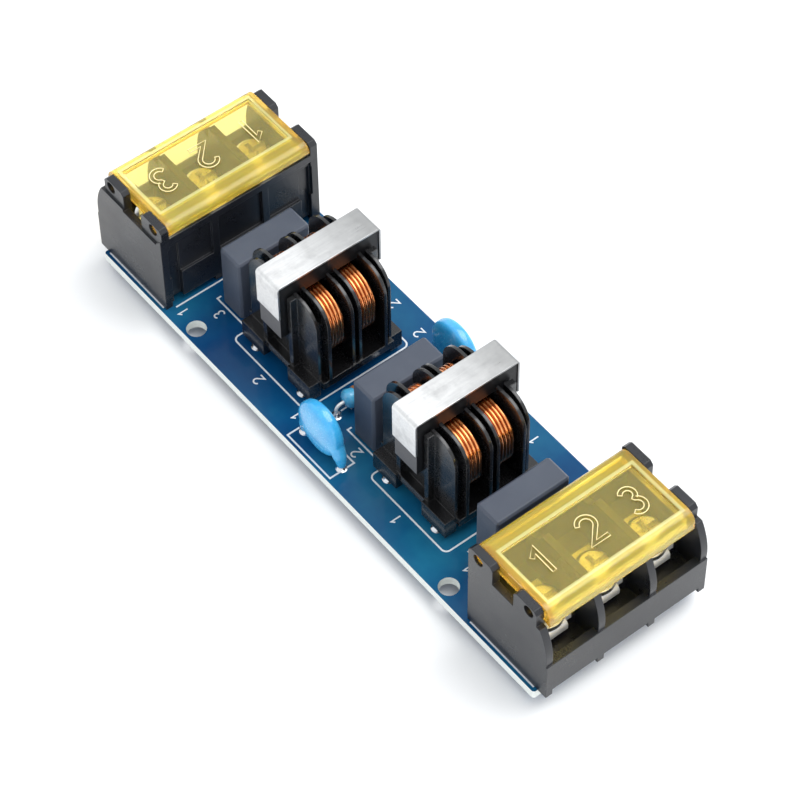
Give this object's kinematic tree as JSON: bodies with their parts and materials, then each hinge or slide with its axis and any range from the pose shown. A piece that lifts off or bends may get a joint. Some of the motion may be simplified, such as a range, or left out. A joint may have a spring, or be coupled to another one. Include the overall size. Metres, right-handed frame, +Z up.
{
  "type": "emi line filter",
  "caption": "Long circuit board mains filter with covered barrier terminal blocks at both ends, ferrite core chokes, film capacitors and disc capacitors between them.",
  "frame": {"origin": "under the middle of the board, on the surface that the lead ends stand on", "axes": "+X along the board from the input end to the output end, +Y across it, +Z up"},
  "size_m": [0.1076, 0.0312, 0.0256],
  "materials": {
    "board_laminate": "satin blue solder mask",
    "housing_plastic": "satin black moulding",
    "amber_clear_plastic": "clear amber moulding",
    "tinned_metal": "tin plated",
    "plated_steel": "nickel plated",
    "bobbin_plastic": "glossy black moulding",
    "ferrite": "ground ferrite",
    "clip_steel": "spring steel strip",
    "enamelled_copper": "enamelled copper wire",
    "capacitor_case": "satin grey moulding",
    "potting_resin": "cast resin",
    "disc_coating": "dipped blue coating",
    "resistor_coating": "dipped light blue coating"
  },
  "bodies": {
    "board": {"circuit_board": "board_laminate", "output_housing": "housing_plastic", "output_terminal_1": "tinned_metal", "output_terminal_2": "tinned_metal", "output_terminal_3": "tinned_metal", "input_housing": "housing_plastic", "input_terminal_1": "tinned_metal", "input_terminal_2": "tinned_metal", "input_terminal_3": "tinned_metal", "input_choke_bobbin": "bobbin_plastic", "input_choke_core_left": "ferrite", "input_choke_core_right": "ferrite", "input_choke_clip": "clip_steel", "input_choke_winding_left": "enamelled_copper", "input_choke_winding_right": "enamelled_copper", "input_choke_pins": "tinned_metal", "output_choke_bobbin": "bobbin_plastic", "output_choke_core_left": "ferrite", "output_choke_core_right": "ferrite", "output_choke_clip": "clip_steel", "output_choke_winding_left": "enamelled_copper", "output_choke_winding_right": "enamelled_copper", "output_choke_pins": "tinned_metal", "film_capacitor_1_case": "capacitor_case", "film_capacitor_1_resin": "potting_resin", "film_capacitor_1_leads": "tinned_metal", "film_capacitor_2_case": "capacitor_case", "film_capacitor_2_resin": "potting_resin", "film_capacitor_2_leads": "tinned_metal", "film_capacitor_3_case": "capacitor_case", "film_capacitor_3_resin": "potting_resin", "film_capacitor_3_leads": "tinned_metal", "disc_capacitor_1_body": "disc_coating", "disc_capacitor_1_leads": "tinned_metal", "disc_capacitor_2_body": "disc_coating", "disc_capacitor_2_leads": "tinned_metal", "bleed_resistor_body": "resistor_coating", "bleed_resistor_leads": "tinned_metal"},
    "output_cover_flap": {"output_cover": "amber_clear_plastic"},
    "output_clamp_1": {"output_clamp_washer_1": "plated_steel"},
    "output_terminal_screw_1": {"output_screw_1": "plated_steel"},
    "output_clamp_2": {"output_clamp_washer_2": "plated_steel"},
    "output_terminal_screw_2": {"output_screw_2": "plated_steel"},
    "output_clamp_3": {"output_clamp_washer_3": "plated_steel"},
    "output_terminal_screw_3": {"output_screw_3": "plated_steel"},
    "input_cover_flap": {"input_cover": "amber_clear_plastic"},
    "input_clamp_1": {"input_clamp_washer_1": "plated_steel"},
    "input_terminal_screw_1": {"input_screw_1": "plated_steel"},
    "input_clamp_2": {"input_clamp_washer_2": "plated_steel"},
    "input_terminal_screw_2": {"input_screw_2": "plated_steel"},
    "input_clamp_3": {"input_clamp_washer_3": "plated_steel"},
    "input_terminal_screw_3": {"input_screw_3": "plated_steel"}
  },
  "joints": [
    {"name": "output_cover_hinge", "type": "hinge", "parent": "board", "child": "output_cover_flap", "pos_m": [0.03858, 0, 0.02], "axis": [0, -1, 0], "range_deg": [0, 105]},
    {"name": "output_clamp_1_rise", "type": "slide", "parent": "board", "child": "output_clamp_1", "axis": [0, 0, 1], "range_m": [0, 0.0021]},
    {"name": "output_screw_1_turn", "type": "hinge", "parent": "output_clamp_1", "child": "output_terminal_screw_1", "pos_m": [0.04625, -0.0095, 0.0119], "axis": [0, 0, 1], "range_deg": [0, 1100]},
    {"name": "output_clamp_2_rise", "type": "slide", "parent": "board", "child": "output_clamp_2", "axis": [0, 0, 1], "range_m": [0, 0.0021]},
    {"name": "output_screw_2_turn", "type": "hinge", "parent": "output_clamp_2", "child": "output_terminal_screw_2", "pos_m": [0.04625, 0, 0.0119], "axis": [0, 0, 1], "range_deg": [0, 1100]},
    {"name": "output_clamp_3_rise", "type": "slide", "parent": "board", "child": "output_clamp_3", "axis": [0, 0, 1], "range_m": [0, 0.0021]},
    {"name": "output_screw_3_turn", "type": "hinge", "parent": "output_clamp_3", "child": "output_terminal_screw_3", "pos_m": [0.04625, 0.0095, 0.0119], "axis": [0, 0, 1], "range_deg": [0, 1100]},
    {"name": "input_cover_hinge", "type": "hinge", "parent": "board", "child": "input_cover_flap", "pos_m": [-0.03858, 0, 0.02], "axis": [0, 1, 0], "range_deg": [0, 105]},
    {"name": "input_clamp_1_rise", "type": "slide", "parent": "board", "child": "input_clamp_1", "axis": [0, 0, 1], "range_m": [0, 0.0021]},
    {"name": "input_screw_1_turn", "type": "hinge", "parent": "input_clamp_1", "child": "input_terminal_screw_1", "pos_m": [-0.04625, 0.0095, 0.0119], "axis": [0, 0, 1], "range_deg": [0, 1100]},
    {"name": "input_clamp_2_rise", "type": "slide", "parent": "board", "child": "input_clamp_2", "axis": [0, 0, 1], "range_m": [0, 0.0021]},
    {"name": "input_screw_2_turn", "type": "hinge", "parent": "input_clamp_2", "child": "input_terminal_screw_2", "pos_m": [-0.04625, 0, 0.0119], "axis": [0, 0, 1], "range_deg": [0, 1100]},
    {"name": "input_clamp_3_rise", "type": "slide", "parent": "board", "child": "input_clamp_3", "axis": [0, 0, 1], "range_m": [0, 0.0021]},
    {"name": "input_screw_3_turn", "type": "hinge", "parent": "input_clamp_3", "child": "input_terminal_screw_3", "pos_m": [-0.04625, -0.0095, 0.0119], "axis": [0, 0, 1], "range_deg": [0, 1100]}
  ],
  "couplings": [
    {"joint": "output_screw_1_turn", "follows": "output_clamp_1_rise", "rad_per_m": 8976},
    {"joint": "output_screw_2_turn", "follows": "output_clamp_2_rise", "rad_per_m": 8976},
    {"joint": "output_screw_3_turn", "follows": "output_clamp_3_rise", "rad_per_m": 8976},
    {"joint": "input_screw_1_turn", "follows": "input_clamp_1_rise", "rad_per_m": 8976},
    {"joint": "input_screw_2_turn", "follows": "input_clamp_2_rise", "rad_per_m": 8976},
    {"joint": "input_screw_3_turn", "follows": "input_clamp_3_rise", "rad_per_m": 8976}
  ]
}
